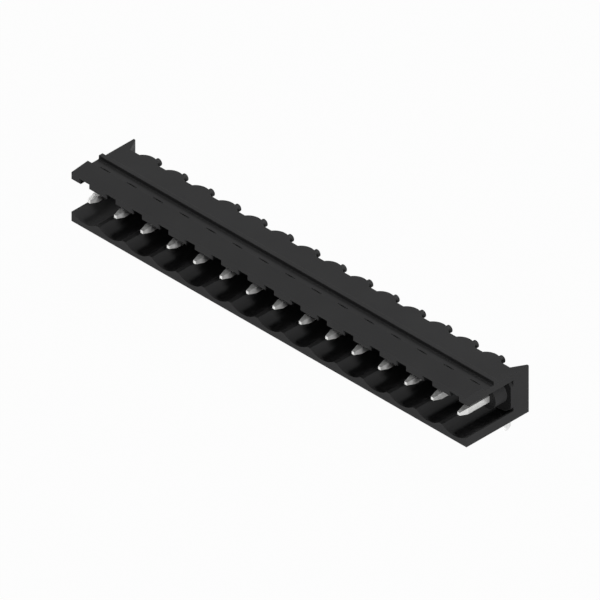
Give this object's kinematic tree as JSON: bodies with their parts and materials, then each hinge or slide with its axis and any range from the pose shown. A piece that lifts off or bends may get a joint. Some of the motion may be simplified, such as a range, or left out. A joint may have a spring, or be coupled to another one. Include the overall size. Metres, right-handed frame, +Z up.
{
  "type": "circuit board connector",
  "caption": "Right-angled pin header for a circuit board: a black moulded housing, open in front and at both ends, with a row of tinned square contacts and solder tails.",
  "frame": {"origin": "middle of the housing's seat, on the surface of the circuit board", "axes": "+X along the row of contacts, -Y out of the mating face, +Z up from the board"},
  "size_m": [0.076, 0.012, 0.0117],
  "materials": {
    "housing_plastic": "black moulded plastic, satin",
    "contact_tin": "bright tin plating on copper alloy"
  },
  "bodies": {
    "root": {"housing": "housing_plastic", "contact_pin_01": "contact_tin", "contact_pin_02": "contact_tin", "contact_pin_03": "contact_tin", "contact_pin_04": "contact_tin", "contact_pin_05": "contact_tin", "contact_pin_06": "contact_tin", "contact_pin_07": "contact_tin", "contact_pin_08": "contact_tin", "contact_pin_09": "contact_tin", "contact_pin_10": "contact_tin", "contact_pin_11": "contact_tin", "contact_pin_12": "contact_tin", "contact_pin_13": "contact_tin", "contact_pin_14": "contact_tin", "contact_pin_15": "contact_tin"}
  },
  "joints": []
}
